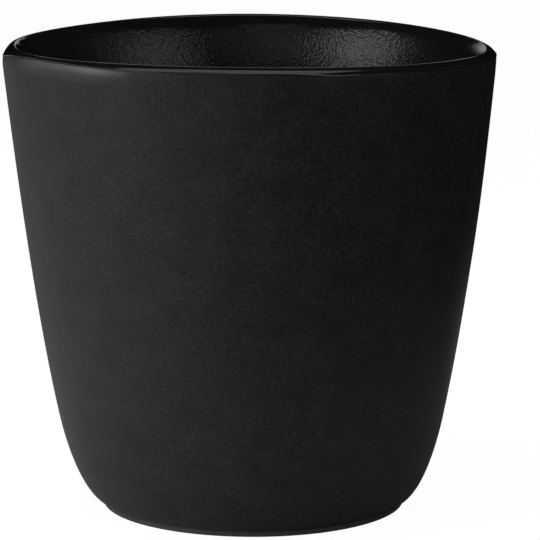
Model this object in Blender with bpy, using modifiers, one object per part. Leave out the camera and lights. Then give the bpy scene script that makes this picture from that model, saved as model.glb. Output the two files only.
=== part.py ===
"""A handle-less stoneware mug: a fired clay body under separate coats of glaze.

The sizes are those of the finished mug, in millimetres. The model is built in metres, with +Z up
and the origin at the centre of the foot. The outline of the finished surface is written once, as
stations: a point (radius, height) and the direction that faces out of the surface there. Each coat
of glaze and the clay under it lie at their own depth below those stations.
"""
import math

import bpy
from mathutils import Vector

METRES = 0.001

# Outside of the finished mug
HEIGHT = 81.7
RIM_DIAMETER = 85.0
RIM_LEAN = math.radians(4.4)
BELLY_DIAMETER = 67.9
BELLY_HEIGHT = 16.0
BELLY_LEAN = math.radians(11.6)
BASE_LEAN = math.radians(70.0)
BASE_CORNER_WALL_REACH = 5.5
BASE_CORNER_FOOT_REACH = 3.3

# Lip
LIP_OUTER_RADIUS = 1.9
LIP_CREST_REACH = 1.6
LIP_WALL_REACH = 3.2
LIP_DEPTH = 6.0

# Inside
WALL = 4.2
FLOOR = 5.0
FLOOR_DIAMETER = 36.0
INNER_CORNER_FLOOR_REACH = 7.0
INNER_CORNER_WALL_REACH = 6.0

# Foot ring
FOOT_DIAMETER = 53.2
FOOT_HEIGHT = 1.1
FOOT_RING_WIDTH = 4.0
FOOT_EDGE_RADIUS = 0.3
RECESS_DEPTH = 1.2

# Glaze: the gloss liner stops where the lip's surface still faces this far above level
GLAZE = 0.5
GLAZE_LINE_ANGLE = math.radians(17.0)
SEAT_GAP = 0.3

# Facets
TURNS = 48
WALL_STEPS = 5
CORNER_STEPS = 7
LIP_STEPS = 5
EDGE_STEPS = 2
SMOOTH_ANGLE = math.radians(35.0)
SEAM_MERGE = 0.01

# Fired finishes: colour and roughness
CLAY_COLOUR = (0.035, 0.033, 0.031)
CLAY_ROUGHNESS = 0.85
GLOSS_COLOUR = (0.006, 0.006, 0.006)
GLOSS_ROUGHNESS = 0.12
MATTE_COLOUR = (0.020, 0.020, 0.020)
MATTE_ROUGHNESS = 0.55

# Sizes that follow from those above
COVER = GLAZE + SEAT_GAP
RIM_RADIUS = RIM_DIAMETER / 2
FOOT_RADIUS = FOOT_DIAMETER / 2
RECESS_RADIUS = FOOT_RADIUS - FOOT_RING_WIDTH
FLOOR_TOP = RECESS_DEPTH + FLOOR


def clear_scene():
    """Remove what the new scene holds."""
    for thing in list(bpy.data.objects):
        bpy.data.objects.remove(thing, do_unlink=True)


def cubic(start, start_handle, end_handle, end, steps):
    """Stations along a cubic curve whose outside is on its left."""
    stations = []
    for step in range(steps + 1):
        t = step / steps
        s = 1 - t
        point = s**3 * start + 3 * s * s * t * start_handle + 3 * s * t * t * end_handle + t**3 * end
        along = s * s * (start_handle - start) + 2 * s * t * (end_handle - start_handle)
        along += t * t * (end - end_handle)
        along.normalize()
        stations.append((point, Vector((-along.y, along.x))))
    return stations


def arc(centre, radius, start_angle, end_angle, steps):
    """Stations round a convex arc, from one facing angle above level to another."""
    stations = []
    for step in range(steps + 1):
        angle = start_angle + (end_angle - start_angle) * step / steps
        out = Vector((math.cos(angle), math.sin(angle)))
        stations.append((centre + radius * out, out))
    return stations


def chain(*stretches):
    """Join stretches of stations that meet end to end."""
    joined = list(stretches[0])
    for stretch in stretches[1:]:
        joined += stretch[1:]
    return joined


def at_depth(stations, depth):
    """Points that lie a depth below the stations."""
    return [point - depth * out for point, out in stations]


def down_wall(lean):
    """Direction down a wall that draws in by its lean."""
    return Vector((-math.sin(lean), -math.cos(lean)))


def out_of_wall(lean):
    """Direction that faces out of such a wall."""
    return Vector((math.cos(lean), -math.sin(lean)))


# Corner points of the finished outline
LIP_CENTRE = Vector((RIM_RADIUS - LIP_OUTER_RADIUS, HEIGHT - LIP_OUTER_RADIUS))
CREST = LIP_CENTRE + Vector((0.0, LIP_OUTER_RADIUS))
SHOULDER = LIP_CENTRE + LIP_OUTER_RADIUS * out_of_wall(RIM_LEAN)
BELLY = Vector((BELLY_DIAMETER / 2, BELLY_HEIGHT))
FOOT_TOP = Vector((FOOT_RADIUS + SEAT_GAP + GLAZE * math.cos(BASE_LEAN), FOOT_HEIGHT))
INNER_SHOULDER = SHOULDER - WALL * out_of_wall(RIM_LEAN) + LIP_DEPTH * down_wall(RIM_LEAN)
INNER_BELLY = BELLY - WALL * out_of_wall(BELLY_LEAN)
FLOOR_EDGE = Vector((FLOOR_DIAMETER / 2, FLOOR_TOP))


def inside():
    """Stations from the middle of the floor, up the wall and on to the crest of the lip."""
    level = Vector((1.0, 0.0))
    floor = [(Vector((0.0, FLOOR_TOP)), Vector((0.0, 1.0)))]
    corner = cubic(
        FLOOR_EDGE,
        FLOOR_EDGE + INNER_CORNER_FLOOR_REACH * level,
        INNER_BELLY + INNER_CORNER_WALL_REACH * down_wall(BELLY_LEAN),
        INNER_BELLY,
        CORNER_STEPS,
    )
    third = (INNER_SHOULDER - INNER_BELLY).length / 3
    wall = cubic(
        INNER_BELLY,
        INNER_BELLY - third * down_wall(BELLY_LEAN),
        INNER_SHOULDER + third * down_wall(RIM_LEAN),
        INNER_SHOULDER,
        WALL_STEPS,
    )
    lip = cubic(
        INNER_SHOULDER,
        INNER_SHOULDER - LIP_WALL_REACH * down_wall(RIM_LEAN),
        CREST - LIP_CREST_REACH * level,
        CREST,
        LIP_STEPS,
    )
    return floor + chain(corner, wall, lip)


def gloss_lip():
    """Stations from the crest of the lip to the line where the liner glaze stops."""
    return arc(LIP_CENTRE, LIP_OUTER_RADIUS, math.pi / 2, GLAZE_LINE_ANGLE, LIP_STEPS)


def outside():
    """Stations from just below the glaze line, down the wall and round the base corner to the foot."""
    below_line = GLAZE_LINE_ANGLE - SEAT_GAP / LIP_OUTER_RADIUS
    lip = arc(LIP_CENTRE, LIP_OUTER_RADIUS, below_line, -RIM_LEAN, EDGE_STEPS)
    third = (BELLY - SHOULDER).length / 3
    wall = cubic(
        SHOULDER,
        SHOULDER + third * down_wall(RIM_LEAN),
        BELLY - third * down_wall(BELLY_LEAN),
        BELLY,
        WALL_STEPS,
    )
    corner = cubic(
        BELLY,
        BELLY + BASE_CORNER_WALL_REACH * down_wall(BELLY_LEAN),
        FOOT_TOP - BASE_CORNER_FOOT_REACH * down_wall(BASE_LEAN),
        FOOT_TOP,
        CORNER_STEPS,
    )
    return chain(lip, wall, corner)


def foot_ring():
    """Points of the bare clay below the glaze: side of the ring, standing face and recess."""
    edge = Vector((FOOT_EDGE_RADIUS, FOOT_EDGE_RADIUS))
    outer_centre = Vector((FOOT_RADIUS, 0.0)) + Vector((-edge.x, edge.y))
    inner_centre = Vector((RECESS_RADIUS, 0.0)) + edge
    outer_edge = arc(outer_centre, FOOT_EDGE_RADIUS, 0.0, -math.pi / 2, EDGE_STEPS)
    inner_edge = arc(inner_centre, FOOT_EDGE_RADIUS, -math.pi / 2, -math.pi, EDGE_STEPS)
    recess_top = RECESS_DEPTH + COVER
    side_top = [Vector((FOOT_RADIUS, FOOT_HEIGHT + COVER * math.sin(BASE_LEAN)))]
    recess = [Vector((RECESS_RADIUS, recess_top)), Vector((0.0, recess_top))]
    return side_top + at_depth(outer_edge + inner_edge, 0.0) + recess


def finish(name, colour, roughness):
    """A fired surface of one colour."""
    material = bpy.data.materials.new(name)
    material.use_nodes = True
    shader = material.node_tree.nodes["Principled BSDF"]
    shader.inputs["Base Color"].default_value = (*colour, 1.0)
    shader.inputs["Roughness"].default_value = roughness
    shader.inputs["Metallic"].default_value = 0.0
    material.diffuse_color = (*colour, 1.0)
    return material


def smooth_round(piece):
    """Keep the turned surface as the piece's mesh, smooth all round and sharp at its corners."""
    evaluated = piece.evaluated_get(bpy.context.evaluated_depsgraph_get())
    mesh = bpy.data.meshes.new_from_object(evaluated)
    mesh.shade_smooth()
    mesh.set_sharp_from_angle(angle=SMOOTH_ANGLE)
    piece.modifiers.clear()
    piece.data = mesh


def turned(name, profile, closed, material, collection, parent):
    """A solid turned round +Z from a profile that runs down its outer side."""
    count = len(profile)
    edges = [(index, index + 1) for index in range(count - 1)]
    if closed:
        edges.append((count - 1, 0))
    mesh = bpy.data.meshes.new(name)
    mesh.from_pydata([(point.x * METRES, 0.0, point.y * METRES) for point in profile], edges, [])
    mesh.materials.append(material)
    piece = bpy.data.objects.new(name, mesh)
    piece.parent = parent
    collection.objects.link(piece)
    screw = piece.modifiers.new("turn", "SCREW")
    screw.axis = "Z"
    screw.angle = 2 * math.pi
    screw.steps = TURNS
    screw.render_steps = TURNS
    screw.use_merge_vertices = True
    screw.merge_threshold = SEAM_MERGE * METRES
    smooth_round(piece)
    return piece


def stoneware_body(collection, parent):
    """The fired clay cup under its coats, bare at the foot ring."""
    clay = finish("stoneware_clay", CLAY_COLOUR, CLAY_ROUGHNESS)
    covered = at_depth(inside() + gloss_lip()[1:] + outside(), COVER)
    return turned("stoneware_body", covered + foot_ring(), False, clay, collection, parent)


def liner_glaze(collection, parent):
    """Gloss coat of the inside, rolled over the lip to the glaze line."""
    gloss = finish("gloss_black_glaze", GLOSS_COLOUR, GLOSS_ROUGHNESS)
    stations = inside() + gloss_lip()[1:]
    profile = at_depth(stations, 0.0) + at_depth(stations, GLAZE)[::-1]
    return turned("liner_glaze", profile, False, gloss, collection, parent)


def outer_glaze(collection, parent):
    """Matte coat of the outside, from the glaze line down to the foot ring."""
    matte = finish("matte_black_glaze", MATTE_COLOUR, MATTE_ROUGHNESS)
    stations = outside()
    profile = at_depth(stations, 0.0) + at_depth(stations, GLAZE)[::-1]
    return turned("outer_glaze", profile, True, matte, collection, parent)


def foot_recess_glaze(collection, parent):
    """Island of matte glaze on the roof of the recess inside the foot ring."""
    matte = finish("recess_black_glaze", MATTE_COLOUR, MATTE_ROUGHNESS)
    rim = RECESS_RADIUS - SEAT_GAP
    back = RECESS_DEPTH + GLAZE
    profile = [
        Vector((0.0, back)),
        Vector((rim, back)),
        Vector((rim, RECESS_DEPTH)),
        Vector((0.0, RECESS_DEPTH)),
    ]
    return turned("foot_recess_glaze", profile, False, matte, collection, parent)


def main():
    clear_scene()
    collection = bpy.data.collections.new("stoneware_mug")
    bpy.context.scene.collection.children.link(collection)
    mug = bpy.data.objects.new("mug", None)
    collection.objects.link(mug)
    stoneware_body(collection, mug)
    liner_glaze(collection, mug)
    outer_glaze(collection, mug)
    foot_recess_glaze(collection, mug)


main()
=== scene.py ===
"""Looks of a handle-less stoneware mug: two glazes on a clay body, on a pale table in soft light.

The mug's sizes are millimetres and its meshes are metres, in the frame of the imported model. Every
surface is a grid: one parameter runs along the outline, the other is the angle round the axis, which
is 0 towards the camera (-Y) and grows towards +X.
"""
import math

import bpy
import numpy as np
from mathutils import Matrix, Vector


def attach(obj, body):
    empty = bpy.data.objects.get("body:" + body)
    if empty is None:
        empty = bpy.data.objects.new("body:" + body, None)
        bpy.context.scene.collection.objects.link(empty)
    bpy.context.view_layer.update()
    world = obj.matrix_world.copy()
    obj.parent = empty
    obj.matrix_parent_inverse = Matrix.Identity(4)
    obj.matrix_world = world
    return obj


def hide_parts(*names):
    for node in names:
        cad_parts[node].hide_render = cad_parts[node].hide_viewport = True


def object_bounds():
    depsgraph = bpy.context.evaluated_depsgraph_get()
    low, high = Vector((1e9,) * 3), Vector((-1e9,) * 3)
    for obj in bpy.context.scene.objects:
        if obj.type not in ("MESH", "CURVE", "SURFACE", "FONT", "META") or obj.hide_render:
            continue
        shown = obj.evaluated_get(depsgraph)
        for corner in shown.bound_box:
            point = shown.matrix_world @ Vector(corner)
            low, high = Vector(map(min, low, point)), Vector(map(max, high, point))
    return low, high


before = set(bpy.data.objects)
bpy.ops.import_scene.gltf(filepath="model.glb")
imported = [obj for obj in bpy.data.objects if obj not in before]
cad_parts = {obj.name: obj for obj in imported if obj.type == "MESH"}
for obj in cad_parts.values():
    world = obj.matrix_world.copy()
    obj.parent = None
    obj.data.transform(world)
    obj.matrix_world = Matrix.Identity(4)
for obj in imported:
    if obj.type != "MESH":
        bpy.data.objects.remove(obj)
CAD_LOW, CAD_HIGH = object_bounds()

MM = 0.001
BODY = "root"

# Outside of the finished mug
HEIGHT = (CAD_HIGH.z - CAD_LOW.z) / MM
RIM_RADIUS = CAD_HIGH.x / MM
RIM_LEAN = math.radians(4.4)
BELLY_RADIUS = 33.95
BELLY_HEIGHT = 16.0
BELLY_LEAN = math.radians(11.6)
BASE_LEAN = math.radians(70.0)
BASE_WALL_REACH = 5.6
BASE_FOOT_REACH = 3.4

# Lip: a round crest and cheek, a tight inner edge and a flare down to the inner wall. Each run is a
# change that peaks at one angle round the rim: (angle, width, size), with all angles in degrees.
LIP_INSET = 1.9
LIP_ROUND = 1.9
CREST_RUNS = ((-103.0, 25.0, -0.9), (102.0, 20.0, -1.1), (70.0, 22.0, 0.25))
CHEEK_RUNS = ((-90.0, 25.0, 2.1), (90.0, 35.0, -0.35))
CHEEK_ANGLE = math.radians(45.0)
CHEEK_ANGLE_RUNS = ((90.0, 24.0, 15.0),)
CHEEK_LEAST = math.radians(6.0)
LIP_CORNER_RADIUS = 0.4
BROW_ANGLE = math.radians(9.0)
BROW_ANGLE_RUNS = ((60.0, 50.0, -7.0),)
BROW_RADIUS = 6.0
LIP_EDGE_RADIUS = 0.6
LIP_FLARE_LEAN = math.radians(42.0)
LIP_FLARE_REACH = 0.5
LIP_FLARE_WIDER = math.radians(6.0)
LIP_FLARE_LONGER = 2.5
LIP_FLARE_WIDER_AT = 95.0
LIP_FLARE_WIDER_WIDTH = 22.0
LIP_WALL_REACH = 8.1
LIP_DEPTH = 11.5

# Inside
WALL = 4.2
FLOOR_RADIUS = 18.0
FLOOR_TOP = 6.2
FLOOR_REACH = 6.0
INNER_FLOOR_REACH = 7.0
INNER_WALL_REACH = 6.0

# Foot ring
FOOT_RADIUS = 26.6
FOOT_HEIGHT = 1.1
FOOT_RING_WIDTH = 4.0
FOOT_EDGE_RADIUS = 0.2
RECESS_DEPTH = 1.2
RECESS_RADIUS = FOOT_RADIUS - FOOT_RING_WIDTH
ISLAND_INSET = 0.5

# Glaze coats. Each wave round the axis is (count, size, phase).
GLAZE = 0.3
CLAY_GAP = 0.02
COVER = GLAZE + CLAY_GAP
GLAZE_LINE = math.radians(26.0)
GLAZE_LINE_WANDER = math.radians(1.5)
GLAZE_LINE_WAVES = ((3, 0.5, 0.4), (7, 0.3, 2.1), (13, 0.2, 4.0))
GLAZE_LINE_RUNS = ((-54.0, 17.0, 32.0), (20.0, 7.0, -13.0), (-90.0, 12.0, -8.0), (90.0, 40.0, -13.0))
GLAZE_EDGE = 0.12
GLAZE_ROLL_LIMIT = 0.999
MATTE_SINK = 0.06
MATTE_SINK_DEPTH = 2.5
MATTE_SINK_FROM = 1.6
BEAD_HEIGHT = 0.02
BEAD_WIDTH = 0.14
BEAD_INSET = 0.20
BEAD_WAVES = ((2, 0.5, 2.0), (5, 0.35, 0.3), (11, 0.25, 1.0))
BEAD_RUNS = (
    (20.0, 6.5, 0.10),
    (-9.0, 7.0, 0.05),
    (-75.0, 12.0, 0.05),
    (95.0, 15.0, 0.07),
    (150.0, 11.0, 0.05),
    (-140.0, 16.0, 0.06),
)
FOOT_OVERHANG = 0.4
WALL_RIPPLE = 0.03
WALL_RIPPLE_WAVES = ((2, 0.6, 0.5), (5, 0.4, 1.9))
WALL_RIPPLE_BANDS = 5.0
WALL_RIPPLE_PHASE = 0.7

# Kiln warp of the fired mug
RIM_TILT = -0.0068
RIM_SADDLE = 0.573
RIM_SADDLE_TURN = math.radians(-3.5)
RIM_DIPS = ((90.0, 28.0, -0.25), (68.0, 20.0, 0.22), (-65.0, 20.0, 0.18), (-130.0, 25.0, -0.15))
RIM_OVAL = 0.0105
RIM_SHIFT = -0.34
BASE_SHIFT = 0.38
BASE_SHIFT_HEIGHT = 25.0

# Grid: stations round the axis and along each stretch of the outline
TURNS = 320
AXIS_RADIUS = 0.5
FLOOR_ROWS = 14
INNER_CORNER_ROWS = 28
INNER_WALL_ROWS = 40
FLARE_ROWS = 26
INNER_EDGE_ROWS = 9
CREST_ROWS = 16
CHEEK_ROWS = 21
LIP_ROWS = CREST_ROWS + CHEEK_ROWS - 1
TUCK_ROWS = 4
UNDER_LINE_ROWS = 6
BROW_ROWS = 8
OUTER_WALL_ROWS = 60
BASE_ROWS = 40
BACK_STEP = 3
FOOT_SIDE_ROWS = 6
FOOT_EDGE_ROWS = 8
FOOT_FACE_ROWS = 8
RECESS_SIDE_ROWS = 5
RECESS_ROOF_ROWS = 8
ISLAND_BACK_ROWS = 12
ISLAND_EDGE_ROWS = 10
ISLAND_FRONT_ROWS = 20
NEAR_NOTHING = 1e-9
ANGLES = np.linspace(0.0, 2.0 * math.pi, TURNS, endpoint=False)


def wander(waves):
    """Sum over (count, size, phase) of size times cos(count times angle + phase), round the axis."""
    return sum(size * np.cos(count * ANGLES + phase) for count, size, phase in waves)


def near_angle(middle, width):
    """Bell round the axis, exp(-(angle from the middle / width) squared), in degrees."""
    turn = np.degrees(ANGLES)
    return np.exp(-((((turn - middle + 180.0) % 360.0 - 180.0) / width) ** 2))


def swells(runs):
    """Sum over (middle, width, size) of size times a bell round the axis."""
    return sum(size * near_angle(middle, width) for middle, width, size in runs)


def ways(angle):
    """Directions (cos, sin) of angles above the level."""
    return np.stack([np.cos(angle), np.sin(angle)], axis=-1)


def down_wall(lean):
    """Direction down a wall that draws in by its lean."""
    return np.stack([-np.sin(lean), -np.cos(lean)], axis=-1)


def out_of_wall(lean):
    """Direction that faces out of such a wall."""
    return np.array([math.cos(lean), -math.sin(lean)])


def cubic(start, start_handle, end_handle, end, count):
    """Cubic curve sum of Bernstein weights times its four points, and its left-hand normal."""
    t = np.linspace(0.0, 1.0, count)[:, None, None]
    s = 1.0 - t
    points = s**3 * start + 3 * s * s * t * start_handle + 3 * s * t * t * end_handle + t**3 * end
    along = s * s * (start_handle - start) + 2 * s * t * (end_handle - start_handle)
    along = along + t * t * (end - end_handle)
    along = along / np.linalg.norm(along, axis=2, keepdims=True)
    return points, np.stack([-along[..., 1], along[..., 0]], axis=2)


def arc(centre, radius, start_angle, end_angle, count):
    """Centre plus radius times (cos, sin) of an angle that runs from start to end, each all round."""
    t = np.linspace(0.0, 1.0, count)[:, None]
    angle = np.atleast_1d(start_angle)[None, :] * (1.0 - t) + np.atleast_1d(end_angle)[None, :] * t
    outs = np.stack([np.cos(angle), np.sin(angle)], axis=2)
    return centre + np.atleast_1d(radius)[None, :, None] * outs, outs


def all_round(values):
    """Repeat a stretch's column round the axis where it is the same at every angle."""
    return np.broadcast_to(values, (values.shape[0], TURNS, 2))


def join(*stretches):
    """Put stretches that meet end to end behind each other, without their shared stations."""
    points = [all_round(stretches[0][0])] + [all_round(stretch[0])[1:] for stretch in stretches[1:]]
    outs = [all_round(stretches[0][1])] + [all_round(stretch[1])[1:] for stretch in stretches[1:]]
    return np.concatenate(points), np.concatenate(outs)


# Corner points of the finished outline
LINE_ANGLE = GLAZE_LINE + GLAZE_LINE_WANDER * wander(GLAZE_LINE_WAVES)
LINE_ANGLE = LINE_ANGLE + np.radians(swells(GLAZE_LINE_RUNS))
LINE_WAY = ways(LINE_ANGLE)
BROW_FROM = BROW_ANGLE + np.radians(swells(BROW_ANGLE_RUNS))
BROW_WAY = ways(BROW_FROM)
CHEEK_FROM = CHEEK_ANGLE + np.radians(swells(CHEEK_ANGLE_RUNS))
CHEEK_FROM = np.maximum(CHEEK_FROM, LINE_ANGLE + CHEEK_LEAST)
CHEEK_WAY = ways(CHEEK_FROM)
CREST_ROUND = LIP_ROUND + swells(CREST_RUNS)
CHEEK_ROUND = LIP_ROUND + swells(CHEEK_RUNS)
BROW_REACH = BROW_RADIUS + (LIP_CORNER_RADIUS - BROW_RADIUS) * BROW_WAY[:, 0]
CREST_RADIUS = RIM_RADIUS - BROW_REACH - (CHEEK_ROUND - LIP_CORNER_RADIUS) * LINE_WAY[:, 0]
CREST_RADIUS = CREST_RADIUS - (CREST_ROUND - CHEEK_ROUND) * CHEEK_WAY[:, 0]
CREST_CENTRE = np.stack([CREST_RADIUS, HEIGHT - CREST_ROUND], axis=1)
EDGE_CENTRE = np.stack([CREST_RADIUS, np.full(TURNS, HEIGHT - LIP_EDGE_RADIUS)], axis=1)
CHEEK_CENTRE = CREST_CENTRE + (CREST_ROUND - CHEEK_ROUND)[:, None] * CHEEK_WAY
CORNER_CENTRE = CHEEK_CENTRE + (CHEEK_ROUND - LIP_CORNER_RADIUS)[:, None] * LINE_WAY
BROW_CENTRE = CORNER_CENTRE + (LIP_CORNER_RADIUS - BROW_RADIUS) * BROW_WAY
SHOULDER = BROW_CENTRE + BROW_RADIUS * out_of_wall(RIM_LEAN)
BELLY = np.array([BELLY_RADIUS, BELLY_HEIGHT])
FOOT_TOP = np.array([FOOT_RADIUS + FOOT_OVERHANG, FOOT_HEIGHT])
INNER_SHOULDER = np.array([RIM_RADIUS - LIP_INSET, HEIGHT - LIP_INSET]) + LIP_DEPTH * down_wall(RIM_LEAN)
INNER_SHOULDER = INNER_SHOULDER - (WALL - LIP_INSET) * out_of_wall(RIM_LEAN)
INNER_BELLY = BELLY - WALL * out_of_wall(BELLY_LEAN)
FLOOR_EDGE = np.array([FLOOR_RADIUS, FLOOR_TOP])


def inside():
    """Stations from the middle of the floor, up the wall and the flare, to the crest of the lip."""
    level = np.array([1.0, 0.0])
    start = np.array([AXIS_RADIUS, FLOOR_TOP])
    run = FLOOR_REACH * level
    floor = cubic(start, start + run, FLOOR_EDGE - run, FLOOR_EDGE, FLOOR_ROWS)
    corner = cubic(
        FLOOR_EDGE,
        FLOOR_EDGE + INNER_FLOOR_REACH * level,
        INNER_BELLY + INNER_WALL_REACH * down_wall(BELLY_LEAN),
        INNER_BELLY,
        INNER_CORNER_ROWS,
    )
    third = np.linalg.norm(INNER_SHOULDER - INNER_BELLY) / 3.0
    wall = cubic(
        INNER_BELLY,
        INNER_BELLY - third * down_wall(BELLY_LEAN),
        INNER_SHOULDER + third * down_wall(RIM_LEAN),
        INNER_SHOULDER,
        INNER_WALL_ROWS,
    )
    wider = near_angle(LIP_FLARE_WIDER_AT, LIP_FLARE_WIDER_WIDTH)
    lean = LIP_FLARE_LEAN + LIP_FLARE_WIDER * wider
    reach = (LIP_FLARE_REACH + LIP_FLARE_LONGER * wider)[:, None]
    edge_start = math.pi - lean
    edge_point = EDGE_CENTRE + LIP_EDGE_RADIUS * ways(edge_start)
    flare = cubic(
        INNER_SHOULDER,
        INNER_SHOULDER - LIP_WALL_REACH * down_wall(RIM_LEAN),
        edge_point + reach * down_wall(lean),
        edge_point,
        FLARE_ROWS,
    )
    edge = arc(EDGE_CENTRE, LIP_EDGE_RADIUS, edge_start, math.pi / 2, INNER_EDGE_ROWS)
    return join(floor, corner, wall, flare, edge)


def gloss_lip():
    """Stations from the crest of the lip to the line where the gloss glaze stops.

    One arc goes over the crest and a second, which meets it smoothly, goes round the cheek.
    """
    crest = arc(CREST_CENTRE, CREST_ROUND, math.pi / 2, CHEEK_FROM, CREST_ROWS)
    cheek = arc(CHEEK_CENTRE, CHEEK_ROUND, CHEEK_FROM, LINE_ANGLE, CHEEK_ROWS)
    return join(crest, cheek)


def outside():
    """Stations from just above the glaze line, down the wall and round the base corner to the foot."""
    tuck = GLAZE_EDGE / CHEEK_ROUND
    lip = arc(CHEEK_CENTRE, CHEEK_ROUND, LINE_ANGLE + tuck, LINE_ANGLE, TUCK_ROWS)
    under_line = arc(CORNER_CENTRE, LIP_CORNER_RADIUS, LINE_ANGLE, BROW_FROM, UNDER_LINE_ROWS)
    brow = arc(BROW_CENTRE, BROW_RADIUS, BROW_FROM, -RIM_LEAN, BROW_ROWS)
    third = np.linalg.norm(BELLY - SHOULDER, axis=1)[:, None] / 3.0
    wall = cubic(
        SHOULDER,
        SHOULDER + third * down_wall(RIM_LEAN),
        BELLY - third * down_wall(BELLY_LEAN),
        BELLY,
        OUTER_WALL_ROWS,
    )
    corner = cubic(
        BELLY,
        BELLY + BASE_WALL_REACH * down_wall(BELLY_LEAN),
        FOOT_TOP - BASE_FOOT_REACH * down_wall(BASE_LEAN),
        FOOT_TOP,
        BASE_ROWS,
    )
    return join(lip, under_line, brow, wall, corner)


def sunk_rows(points, outs, depth, first=0):
    """Every third station from the first one, and the last, a depth below the surface."""
    keep = np.unique(np.r_[np.arange(first, len(points), BACK_STEP), len(points) - 1])
    return points[keep] - depth * outs[keep]


def kiln_warp(x, y, z):
    """Bend the turned form as firing left it.

    Above mid height, a share that grows with the square of the height tilts the rim across, lifts its
    front and back over its sides along slightly turned axes, adds local dips and swells, widens it
    across and shifts it. The base shifts the other way.
    """
    upper = np.clip((z - HEIGHT / 2) / (HEIGHT / 2), 0.0, 1.0) ** 2
    lower = np.clip(1.0 - z / BASE_SHIFT_HEIGHT, 0.0, 1.0) ** 2
    across, along = math.sin(2.0 * RIM_SADDLE_TURN), math.cos(2.0 * RIM_SADDLE_TURN)
    saddle = along * (y * y - x * x) - 2.0 * across * x * y
    saddle = saddle / np.maximum(x * x + y * y, NEAR_NOTHING)
    outward = np.clip(np.hypot(x, y) / RIM_RADIUS, 0, 1)
    waves = (RIM_SADDLE * saddle + swells(RIM_DIPS)) * outward
    lift = (RIM_TILT * x + waves) * upper
    return x * (1.0 + RIM_OVAL * upper) + BASE_SHIFT * lower + RIM_SHIFT * upper, y, z + lift


def turned(name, rows, ends, material):
    """Carry rows of (radius, height) round the axis: x = r sin(angle), y = -r cos(angle).

    Ends is "poles" where the first and the last row close on a point of the axis, or "loop" where the
    last row meets the first.
    """
    radius, height = rows[..., 0], rows[..., 1]
    grid = np.stack(kiln_warp(radius * np.sin(ANGLES), -radius * np.cos(ANGLES), height), axis=2)
    count = len(rows)
    corners = grid.reshape(-1, 3)
    near = np.arange(count if ends == "loop" else count - 1)
    far = (near + 1) % count
    here = np.arange(TURNS)
    there = (here + 1) % TURNS
    near, far = near[:, None] * TURNS, far[:, None] * TURNS
    quads = np.stack([near + here, far + here, far + there, near + there], axis=2).reshape(-1, 4)
    faces = quads.tolist()
    if ends == "poles":
        first, last = len(corners), len(corners) + 1
        corners = np.concatenate([corners, grid[0].mean(0)[None], grid[-1].mean(0)[None]])
        final = (count - 1) * TURNS
        faces += np.stack([np.full(TURNS, first), here, there], axis=1).tolist()
        faces += np.stack([np.full(TURNS, last), final + there, final + here], axis=1).tolist()
    mesh = bpy.data.meshes.new(name)
    mesh.from_pydata((corners * MM).tolist(), [], faces)
    mesh.shade_smooth()
    mesh.materials.append(material)
    piece = bpy.data.objects.new(name, mesh)
    bpy.context.scene.collection.objects.link(piece)
    return piece


def liner_glaze_coat(material):
    """Gloss coat of the inside, rolled over the lip, with a bead where it stops.

    The bead is a bump of the coat, height times exp(-(distance / width) squared), whose height wanders
    round the rim. Past it the edge rolls under by a quarter round.
    """
    points, outs = join(inside(), gloss_lip())
    steps = np.linalg.norm(np.diff(points[-LIP_ROWS:], axis=0), axis=2)
    along = np.concatenate([np.cumsum(steps[::-1], axis=0)[::-1], np.zeros((1, TURNS))])
    height = BEAD_HEIGHT * (1.0 + wander(BEAD_WAVES))
    height = np.clip(height + swells(BEAD_RUNS), 0.0, None)
    bead = height * np.exp(-(((along - BEAD_INSET) / BEAD_WIDTH) ** 2))
    roll = np.clip(1.0 - along / GLAZE_EDGE, 0.0, 1.0)
    edge = GLAZE_EDGE * (1.0 - np.sqrt(1.0 - np.minimum(roll, GLAZE_ROLL_LIMIT) ** 2))
    front = points.copy()
    front[-LIP_ROWS:] += (bead - edge)[..., None] * outs[-LIP_ROWS:]
    rows = np.concatenate([front, sunk_rows(points, outs, GLAZE)[::-1]])
    return turned("liner_glaze_coat", rows, "poles", material)


def outer_glaze_coat(material):
    """Matte coat of the outside, tucked into the edge of the gloss at the lip, down to the foot.

    It ripples by bands up the wall times waves round the axis, and lies a little sunk under the line.
    """
    points, outs = outside()
    rise = points[:, :1, 1] / HEIGHT
    bands = np.sin(WALL_RIPPLE_BANDS * math.pi * rise + WALL_RIPPLE_PHASE)
    ripple = WALL_RIPPLE * bands * wander(WALL_RIPPLE_WAVES)[None, :]
    below_line = (HEIGHT - points[..., 1]) / MATTE_SINK_DEPTH
    sink = MATTE_SINK * np.clip(MATTE_SINK_FROM - below_line, 0.0, 1.0)
    front = points + (ripple * np.sin(math.pi * np.clip(rise, 0, 1)) - sink)[..., None] * outs
    rows = np.concatenate([front, sunk_rows(points, outs, GLAZE)[::-1]])
    return turned("outer_glaze_coat", rows, "loop", material)


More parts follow.
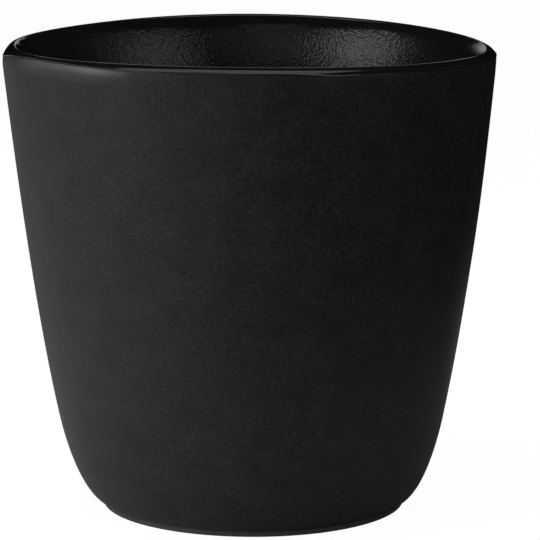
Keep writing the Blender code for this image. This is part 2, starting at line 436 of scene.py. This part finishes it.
def clay_body(material):
    """Clay under the coats, with the bare foot ring: side, rounded edges, standing face and recess."""
    under_gloss = sunk_rows(*join(inside(), gloss_lip()), COVER)
    under_matte = sunk_rows(*outside(), COVER, TUCK_ROWS)
    top = FOOT_HEIGHT + COVER * math.sin(BASE_LEAN)
    outer_centre = np.array([FOOT_RADIUS - FOOT_EDGE_RADIUS, FOOT_EDGE_RADIUS])
    inner_centre = np.array([RECESS_RADIUS + FOOT_EDGE_RADIUS, FOOT_EDGE_RADIUS])
    roof = RECESS_DEPTH + COVER
    side = np.linspace([FOOT_RADIUS, top], [FOOT_RADIUS, FOOT_EDGE_RADIUS], FOOT_SIDE_ROWS)
    face = np.linspace(outer_centre, inner_centre, FOOT_FACE_ROWS) - [[0.0, FOOT_EDGE_RADIUS]]
    recess = np.linspace([RECESS_RADIUS, FOOT_EDGE_RADIUS], [RECESS_RADIUS, roof], RECESS_SIDE_ROWS)
    ceiling = np.linspace([RECESS_RADIUS, roof], [AXIS_RADIUS, roof], RECESS_ROOF_ROWS)
    stretches = [
        side[:-1, None, :],
        arc(outer_centre, FOOT_EDGE_RADIUS, 0.0, -math.pi / 2, FOOT_EDGE_ROWS)[0],
        face[1:-1, None, :],
        arc(inner_centre, FOOT_EDGE_RADIUS, -math.pi / 2, -math.pi, FOOT_EDGE_ROWS)[0],
        recess[1:, None, :],
        ceiling[1:, None, :],
    ]
    foot = np.concatenate([all_round(stretch) for stretch in stretches])
    return turned("clay_body", np.concatenate([under_gloss, under_matte, foot]), "poles", material)


def recess_glaze_island(material):
    """Matte glaze on the roof of the recess, with a soft edge just inside the ring."""
    edge = GLAZE / 2
    reach = RECESS_RADIUS - ISLAND_INSET - edge
    back = RECESS_DEPTH + GLAZE
    top = np.linspace([AXIS_RADIUS, back], [reach, back], ISLAND_BACK_ROWS)
    middle = np.array([reach, RECESS_DEPTH + edge])
    turn = arc(middle, edge, math.pi / 2, -math.pi / 2, ISLAND_EDGE_ROWS)[0]
    face = np.linspace([reach, RECESS_DEPTH], [AXIS_RADIUS, RECESS_DEPTH], ISLAND_FRONT_ROWS)
    stretches = [top[:-1, None, :], turn, face[1:, None, :]]
    rows = np.concatenate([all_round(stretch) for stretch in stretches])
    return turned("recess_glaze_island", rows, "poles", material)


# Finishes: lumps, relief and depths under the rim in millimetres. Each shade is (position, colour).
MATTE_SPECKLE = 0.45
MATTE_SPECKLE_SHARE = 0.75
MATTE_CLOUD = 5.0
MATTE_SHADES = (
    (0.30, (0.008, 0.008, 0.008)),
    (0.50, (0.022, 0.022, 0.022)),
    (0.70, (0.044, 0.044, 0.044)),
)
MATTE_SPECULAR = 0.31
MATTE_RELIEF = 0.03
SHEEN = 0.82
SHEEN_ROUGHNESS = 0.28
SHEEN_NONE_BELOW = 3.4
SHEEN_FULL_ABOVE = 1.0
SHEEN_TURN = math.radians(-46.5)
SHEEN_NONE = 0.945
SHEEN_FULL = 0.994
GLOSS_PEEL = 0.42
GLOSS_PEBBLE = 1.3
GLOSS_PEBBLE_SHARE = 0.6
GLOSS_SKIN_LEVEL = 0.8
GLOSS_PEEL_FULL_BELOW = 2.6
GLOSS_PEEL_NONE_ABOVE = 1.3
GLOSS_POOLING = 6.0
GLOSS_SHADES = ((0.35, (0.0035, 0.0035, 0.0035)), (0.65, (0.006, 0.006, 0.006)))
GLOSS_HAZE = 0.12
GLOSS_RELIEF = 0.10
CLAY_GRIT = 0.3
CLAY_GRIT_SHARE = 0.7
CLAY_CLOUD = 3.0
CLAY_SHADES = (
    (0.30, (0.060, 0.058, 0.056)),
    (0.55, (0.095, 0.091, 0.087)),
    (0.75, (0.145, 0.139, 0.132)),
)
CLAY_RELIEF = 0.05
UPWARD = (0.0, 0.0, 1.0)
BACKWARD = (0.0, 1.0, 0.0)


def new_finish(name):
    """A material with its shader, and the place of each point on the piece."""
    material = bpy.data.materials.new(name)
    material.use_nodes = True
    nodes, links = material.node_tree.nodes, material.node_tree.links
    return material, nodes, links, nodes["Principled BSDF"], nodes.new("ShaderNodeTexCoord")


def measured(nodes, links, place, operation, other):
    """One number from each point's place and a fixed vector."""
    step = nodes.new("ShaderNodeVectorMath")
    step.operation = operation
    links.new(place.outputs["Object"], step.inputs[0])
    step.inputs[1].default_value = other
    return step.outputs["Value"]


def grain(nodes, links, place, size_mm, detail, roughness=0.5):
    """Noise whose lumps are about a given size."""
    noise = nodes.new("ShaderNodeTexNoise")
    noise.inputs["Scale"].default_value = 1.0 / (size_mm * MM)
    noise.inputs["Detail"].default_value = detail
    noise.inputs["Roughness"].default_value = roughness
    links.new(place.outputs["Object"], noise.inputs["Vector"])
    return noise.outputs["Fac"]


def spread(nodes, links, value, low, high, to_low, to_high):
    """A value between two bounds, mapped to two others."""
    mapped = nodes.new("ShaderNodeMapRange")
    mapped.inputs["From Min"].default_value = low
    mapped.inputs["From Max"].default_value = high
    mapped.inputs["To Min"].default_value = to_low
    mapped.inputs["To Max"].default_value = to_high
    links.new(value, mapped.inputs["Value"])
    return mapped.outputs["Result"]


def combined(nodes, links, operation, first, second):
    """Two values put through one operation. The second may be a plain number."""
    step = nodes.new("ShaderNodeMath")
    step.operation = operation
    links.new(first, step.inputs[0])
    if isinstance(second, float):
        step.inputs[1].default_value = second
    else:
        links.new(second, step.inputs[1])
    return step.outputs["Value"]


def two_grains(nodes, links, fine, fine_share, coarse):
    """A share of a fine grain plus the rest of a coarse one."""
    first = combined(nodes, links, "MULTIPLY", fine, fine_share)
    rest = combined(nodes, links, "MULTIPLY", coarse, 1.0 - fine_share)
    return combined(nodes, links, "ADD", first, rest)


def shades(nodes, links, value, stops):
    """Colours along a value: each stop is a position and a colour."""
    ramp = nodes.new("ShaderNodeValToRGB")
    elements = ramp.color_ramp.elements
    while len(elements) < len(stops):
        elements.new(0.5)
    for element, (position, colour) in zip(elements, stops):
        element.position = position
        element.color = (*colour, 1.0)
    links.new(value, ramp.inputs["Fac"])
    return ramp.outputs["Color"]


def raised(nodes, links, height, distance_mm, strength, shader):
    """Surface relief from a height between 0 and 1."""
    bump = nodes.new("ShaderNodeBump")
    bump.inputs["Distance"].default_value = distance_mm * MM
    bump.inputs["Strength"].default_value = strength
    links.new(height, bump.inputs["Height"])
    links.new(bump.outputs["Normal"], shader.inputs["Normal"])


def matte_black_glaze():
    """Satin black with a fine speckle, soft clouds, a dry micro-grain and a sheen on the left shoulder."""
    material, nodes, links, shader, place = new_finish("matte_black_glaze")
    speckle = grain(nodes, links, place, MATTE_SPECKLE, 2.0, 0.6)
    cloud = grain(nodes, links, place, MATTE_CLOUD, 3.0)
    both = two_grains(nodes, links, speckle, MATTE_SPECKLE_SHARE, cloud)
    links.new(shades(nodes, links, both, MATTE_SHADES), shader.inputs["Base Color"])
    links.new(spread(nodes, links, speckle, 0.3, 0.7, 0.42, 0.58), shader.inputs["Roughness"])
    shader.inputs["Specular IOR Level"].default_value = MATTE_SPECULAR
    rise = measured(nodes, links, place, "DOT_PRODUCT", UPWARD)
    low, high = (HEIGHT - SHEEN_NONE_BELOW) * MM, (HEIGHT - SHEEN_FULL_ABOVE) * MM
    at_lip = spread(nodes, links, rise, low, high, 0.0, 1.0)
    left_way = (math.sin(SHEEN_TURN), -math.cos(SHEEN_TURN), 0.0)
    aside = measured(nodes, links, place, "DOT_PRODUCT", left_way)
    reach = RIM_RADIUS * MM
    at_side = spread(nodes, links, aside, SHEEN_NONE * reach, SHEEN_FULL * reach, 0.0, SHEEN)
    links.new(combined(nodes, links, "MULTIPLY", at_lip, at_side), shader.inputs["Coat Weight"])
    shader.inputs["Coat Roughness"].default_value = SHEEN_ROUGHNESS
    raised(nodes, links, speckle, MATTE_RELIEF, 0.5, shader)
    return material


def gloss_black_glaze():
    """Gloss black with a fine and a coarse orange peel that flatten out under the rim and over the lip."""
    material, nodes, links, shader, place = new_finish("gloss_black_glaze")
    peel = grain(nodes, links, place, GLOSS_PEEL, 1.5)
    pebble = grain(nodes, links, place, GLOSS_PEBBLE, 1.0)
    pebble = combined(nodes, links, "MULTIPLY", pebble, GLOSS_PEBBLE_SHARE)
    pooling = grain(nodes, links, place, GLOSS_POOLING, 2.0)
    rise = measured(nodes, links, place, "DOT_PRODUCT", UPWARD)
    low, high = (HEIGHT - GLOSS_PEEL_FULL_BELOW) * MM, (HEIGHT - GLOSS_PEEL_NONE_ABOVE) * MM
    below_rim = spread(nodes, links, rise, low, high, 1.0, 0.0)
    skin = combined(nodes, links, "ADD", peel, pebble)
    skin = combined(nodes, links, "SUBTRACT", skin, GLOSS_SKIN_LEVEL)
    height = combined(nodes, links, "MULTIPLY", skin, below_rim)
    links.new(shades(nodes, links, pooling, GLOSS_SHADES), shader.inputs["Base Color"])
    haze = combined(nodes, links, "MULTIPLY", below_rim, GLOSS_HAZE)
    sheen = spread(nodes, links, pooling, 0.3, 0.7, 0.08, 0.13)
    links.new(combined(nodes, links, "ADD", haze, sheen), shader.inputs["Roughness"])
    raised(nodes, links, height, GLOSS_RELIEF, 1.0, shader)
    return material


def stoneware_clay():
    """Dry dark clay with grit."""
    material, nodes, links, shader, place = new_finish("stoneware_clay")
    grit = grain(nodes, links, place, CLAY_GRIT, 3.0, 0.65)
    cloud = grain(nodes, links, place, CLAY_CLOUD, 2.0)
    both = two_grains(nodes, links, grit, CLAY_GRIT_SHARE, cloud)
    links.new(shades(nodes, links, both, CLAY_SHADES), shader.inputs["Base Color"])
    links.new(spread(nodes, links, grit, 0.3, 0.7, 0.78, 0.92), shader.inputs["Roughness"])
    raised(nodes, links, grit, CLAY_RELIEF, 0.6, shader)
    return material


# Studio: distances in metres
TABLE_RADIUS = 0.9
TABLE_RINGS = 40
TABLE_SPOKES = 97
TABLE_DROP = 0.00002
# Painted shade: the table's grey for the light that it sends back is pale near the mug and near black
# further out. It stands for light that falls off away from the mug.
TABLE_PALE = 0.78
TABLE_FAR = 0.05
TABLE_NEAR_TO = 0.07
TABLE_FAR_FROM = 0.14
TABLE_GLOW = 0.97
TABLE_SHARE = 0.12
# Painted glow on the table. No lamp gives it. It stands in for light spilled from the key onto the table's
# left side, and for a weaker round pool close behind the mug on the right.
LEFT_PAINTED_GLOW = 0.6
PAINTED_GLOW_FAR_SHARE = 0.6
PAINTED_GLOW_TURN = math.radians(12.0)
PAINTED_GLOW_NONE = 0.0
PAINTED_GLOW_FULL = -0.12
PAINTED_GLOW_NEAR_TO = 0.10
PAINTED_GLOW_FAR_FROM = 0.25
BEHIND_PAINTED_GLOW = 0.42
BEHIND_PLACE = (0.05, 0.13, 0.0)
BEHIND_FULL_TO = 0.03
BEHIND_NONE_FROM = 0.085
ROOM_RADIUS = 3.0
ROOM_RINGS = 33
ROOM_SPOKES = 65
ROOM_FRONT = 0.055
ROOM_BACK = 0.004
ROOM_FRONT_FROM = 0.8
ROOM_DARK_FROM = 2.9
WATTS_PER_RADIANCE = math.pi


def shares_of_white(nodes, links):
    """1 where the camera, a reflection or a view through glass looks, 0 where light only spreads."""
    path = nodes.new("ShaderNodeLightPath")
    seen = combined(nodes, links, "MAXIMUM", path.outputs["Is Camera Ray"], path.outputs["Is Glossy Ray"])
    return combined(nodes, links, "MAXIMUM", seen, path.outputs["Is Transmission Ray"])


def white_world():
    """White for the eye and dark for light that spreads."""
    world = bpy.data.worlds.new("white_backdrop")
    bpy.context.scene.world = world
    world.use_nodes = True
    nodes, links = world.node_tree.nodes, world.node_tree.links
    background = nodes["Background"]
    background.inputs["Color"].default_value = (1.0, 1.0, 1.0, 1.0)
    links.new(shares_of_white(nodes, links), background.inputs["Strength"])


def stage_grid(name, x, y, z, material):
    """A stage surface from arrays of places on a grid of rows and columns."""
    rows, columns = x.shape
    corner = (np.arange(rows - 1)[:, None] * columns + np.arange(columns - 1)[None, :])[..., None]
    quads = (corner + np.array([0, 1, columns + 1, columns])).reshape(-1, 4)
    mesh = bpy.data.meshes.new(name)
    mesh.from_pydata(np.stack([x, y, z], axis=2).reshape(-1, 3).tolist(), [], quads.tolist())
    mesh.shade_smooth()
    mesh.materials.append(material)
    thing = bpy.data.objects.new(name, mesh)
    bpy.context.scene.collection.objects.link(thing)
    return thing


def bare_finish(name):
    """A material without its usual shader, and the place of each point on the piece."""
    material, nodes, links, shader, place = new_finish(name)
    nodes.remove(shader)
    return material, nodes, links, place


def pale_table():
    """White to the eye, with the mug's shadow, and pale grey to the light that it sends back.

    Where it sends light back, it is pale grey near the mug and painted dark further out. That is a painted
    shade for light falling off away from the mug.
    A painted glow on its left side, the key's side, makes it white there for all light. A weaker, round
    painted glow lies close behind the mug on the right, and is mirrored along the right edge.
    The disc is x = r cos(angle), y = r sin(angle).
    """
    material, nodes, links, place = bare_finish("pale_table")
    distance = measured(nodes, links, place, "LENGTH", (0.0, 0.0, 0.0))
    bounce = nodes.new("ShaderNodeBsdfDiffuse")
    # Painted shade: pale grey near the mug, darkening to near black further out.
    pale = spread(nodes, links, distance, TABLE_NEAR_TO, TABLE_FAR_FROM, TABLE_PALE, TABLE_FAR)
    links.new(pale, bounce.inputs["Color"])
    # Painted glow: the table itself glows on its left side, more near the mug than far out.
    right_way = (math.cos(PAINTED_GLOW_TURN), math.sin(PAINTED_GLOW_TURN), 0.0)
    aside = measured(nodes, links, place, "DOT_PRODUCT", right_way)
    left = spread(nodes, links, aside, PAINTED_GLOW_FULL, PAINTED_GLOW_NONE, LEFT_PAINTED_GLOW, 0.0)
    fading = spread(nodes, links, distance, PAINTED_GLOW_NEAR_TO, PAINTED_GLOW_FAR_FROM, 1.0, PAINTED_GLOW_FAR_SHARE)
    left = combined(nodes, links, "MULTIPLY", left, fading)
    # Painted glow: a weaker round glow close behind the mug on the right.
    behind = measured(nodes, links, place, "DISTANCE", BEHIND_PLACE)
    behind = spread(nodes, links, behind, BEHIND_FULL_TO, BEHIND_NONE_FROM, BEHIND_PAINTED_GLOW, 0.0)
    painted_glow = nodes.new("ShaderNodeEmission")
    links.new(combined(nodes, links, "ADD", left, behind), painted_glow.inputs["Strength"])
    sent_back = nodes.new("ShaderNodeAddShader")
    links.new(bounce.outputs["BSDF"], sent_back.inputs[0])
    links.new(painted_glow.outputs["Emission"], sent_back.inputs[1])
    share = nodes.new("ShaderNodeBsdfDiffuse")
    share.inputs["Color"].default_value = (TABLE_SHARE, TABLE_SHARE, TABLE_SHARE, 1.0)
    glow = nodes.new("ShaderNodeEmission")
    glow.inputs["Strength"].default_value = TABLE_GLOW
    seen = nodes.new("ShaderNodeAddShader")
    links.new(share.outputs["BSDF"], seen.inputs[0])
    links.new(glow.outputs["Emission"], seen.inputs[1])
    path = nodes.new("ShaderNodeLightPath")
    choice = nodes.new("ShaderNodeMixShader")
    links.new(path.outputs["Is Camera Ray"], choice.inputs["Fac"])
    links.new(sent_back.outputs["Shader"], choice.inputs[1])
    links.new(seen.outputs["Shader"], choice.inputs[2])
    links.new(choice.outputs["Shader"], nodes["Material Output"].inputs["Surface"])
    radius = np.linspace(0.0, TABLE_RADIUS, TABLE_RINGS)[:, None]
    angle = np.linspace(0.0, 2.0 * math.pi, TABLE_SPOKES)[None, :]
    flat = np.full((TABLE_RINGS, TABLE_SPOKES), -TABLE_DROP)
    stage_grid("table", radius * np.cos(angle), radius * np.sin(angle), flat, material)


def dark_room():
    """A ball round the studio, dim in front and dark behind, which the camera looks through.

    The ball is its radius times (cos(up) sin(angle), cos(up) cos(angle), sin(up)).
    """
    material, nodes, links, place = bare_finish("dark_room")
    depth = measured(nodes, links, place, "DOT_PRODUCT", BACKWARD)
    dim = nodes.new("ShaderNodeEmission")
    front = spread(nodes, links, depth, ROOM_FRONT_FROM, ROOM_DARK_FROM, ROOM_FRONT, ROOM_BACK)
    links.new(front, dim.inputs["Strength"])
    links.new(dim.outputs["Emission"], nodes["Material Output"].inputs["Surface"])
    up = np.linspace(-math.pi / 2, math.pi / 2, ROOM_RINGS)[:, None]
    angle = np.linspace(0.0, 2.0 * math.pi, ROOM_SPOKES)[None, :]
    x = ROOM_RADIUS * np.cos(up) * np.sin(angle)
    y = ROOM_RADIUS * np.cos(up) * np.cos(angle)
    z = ROOM_RADIUS * np.sin(up) + 0.0 * angle
    room = stage_grid("dark_room", x, y, z, material)
    room.visible_camera = False


def softbox(name, centre, aim, width, height, radiance):
    """A soft lamp of a given size and brightness, out of the camera's sight."""
    light = bpy.data.lights.new(name, "AREA")
    light.shape = "RECTANGLE"
    light.size = width
    light.size_y = height
    light.energy = WATTS_PER_RADIANCE * width * height * radiance
    lamp = bpy.data.objects.new(name, light)
    lamp.location = centre
    lamp.rotation_euler = (Vector(aim) - Vector(centre)).to_track_quat("-Z", "Y").to_euler()
    lamp.visible_camera = False
    bpy.context.scene.collection.objects.link(lamp)


def softbox_round(name, azimuth, elevation, distance, radiance):
    """A softbox that spans two azimuths and two elevations, in degrees, seen from the mug.

    Azimuth is 0 on the camera's side and grows towards +X.
    """
    side, rise = math.radians(sum(azimuth) / 2), math.radians(sum(elevation) / 2)
    level = distance * math.cos(rise)
    middle = HEIGHT / 2 * MM
    centre = (level * math.sin(side), -level * math.cos(side), middle + distance * math.sin(rise))
    half_width = math.radians(azimuth[1] - azimuth[0]) / 2 * math.cos(rise)
    half_height = math.radians(elevation[1] - elevation[0]) / 2
    width = 2 * distance * math.tan(half_width)
    height = 2 * distance * math.tan(half_height)
    softbox(name, centre, (0.0, 0.0, middle), width, height, radiance)


def studio_light():
    """Soft lamps that give the photographed light on the wall, the lip and the inside.

    A key stands on the left and a weaker fill on the right, with a dim edge. A weak box is in front, two
    low ones light the left side, and a long one hangs overhead. Two small ones stand close behind, the
    low one for the right end of the rim and the high one for the light line along it.
    """
    softbox_round("key", azimuth=(-83.0, -42.0), elevation=(0.0, 28.0), distance=0.7, radiance=2.15)
    softbox_round("fill", azimuth=(32.0, 69.0), elevation=(8.0, 27.5), distance=0.7, radiance=0.88)
    softbox_round("fill_edge", azimuth=(69.0, 88.0), elevation=(8.0, 27.5), distance=0.7, radiance=0.18)
    softbox_round("front", azimuth=(-30.0, 5.0), elevation=(5.0, 34.0), distance=0.9, radiance=0.28)
    softbox_round("low_left", azimuth=(-100.0, -62.0), elevation=(-2.0, 10.0), distance=0.5, radiance=1.4)
    softbox_round(
        "low_far_left",
        azimuth=(-122.0, -100.0),
        elevation=(-2.0, 10.0),
        distance=0.5,
        radiance=0.6,
    )
    softbox(
        "behind_low",
        centre=(-0.010, 0.27, 0.1147),
        aim=(-0.010, 0.0, 0.09),
        width=0.064,
        height=0.046,
        radiance=0.48,
    )
    softbox(
        "behind_high",
        centre=(0.0045, 0.27, 0.1507),
        aim=(0.0045, 0.0, 0.09),
        width=0.149,
        height=0.030,
        radiance=0.38,
    )
    softbox(
        "overhead",
        centre=(-0.13, -0.12, 0.83),
        aim=(-0.13, -0.12, 0.0),
        width=1.06,
        height=0.48,
        radiance=1.1,
    )


# Camera: a chosen distance from the middle of the mug, and what fits the photograph at that distance
CAMERA_DISTANCE = 0.600
CAMERA_ELEVATION = math.radians(10.494)
IMAGE_SIDE = 540.0
FOCAL_PIXELS = 3411.0
AXIS_PIXEL = (251.18, 273.12)
SENSOR = 36.0


def camera():
    """A long lens at the photograph's height angle, aimed at the middle of the mug."""
    data = bpy.data.cameras.new("camera")
    data.sensor_width = SENSOR
    data.lens = FOCAL_PIXELS / IMAGE_SIDE * SENSOR
    data.shift_x = (IMAGE_SIDE / 2 - AXIS_PIXEL[0]) / IMAGE_SIDE
    data.shift_y = (AXIS_PIXEL[1] - IMAGE_SIDE / 2) / IMAGE_SIDE
    eye = bpy.data.objects.new("camera", data)
    back = CAMERA_DISTANCE * math.cos(CAMERA_ELEVATION)
    rise = CAMERA_DISTANCE * math.sin(CAMERA_ELEVATION) + HEIGHT / 2 * MM
    eye.location = (0.0, -back, rise)
    eye.rotation_euler = (math.pi / 2 - CAMERA_ELEVATION, 0.0, 0.0)
    bpy.context.scene.collection.objects.link(eye)
    bpy.context.scene.camera = eye


def dress():
    """Make each piece, let it ride on the mug and stand for its solid."""
    matte, gloss, clay = matte_black_glaze(), gloss_black_glaze(), stoneware_clay()
    pieces = [
        (liner_glaze_coat(gloss), "liner_glaze", "gloss_black_glaze"),
        (outer_glaze_coat(matte), "outer_glaze", "matte_black_glaze"),
        (clay_body(clay), "stoneware_body", "stoneware_clay"),
        (recess_glaze_island(matte), "foot_recess_glaze", "matte_black_glaze"),
    ]
    for piece, node, slot in pieces:
        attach(piece, BODY)
        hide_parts(node)


dress()
pale_table()
dark_room()
white_world()
studio_light()
camera()
bpy.context.scene.view_settings.view_transform = "Standard"
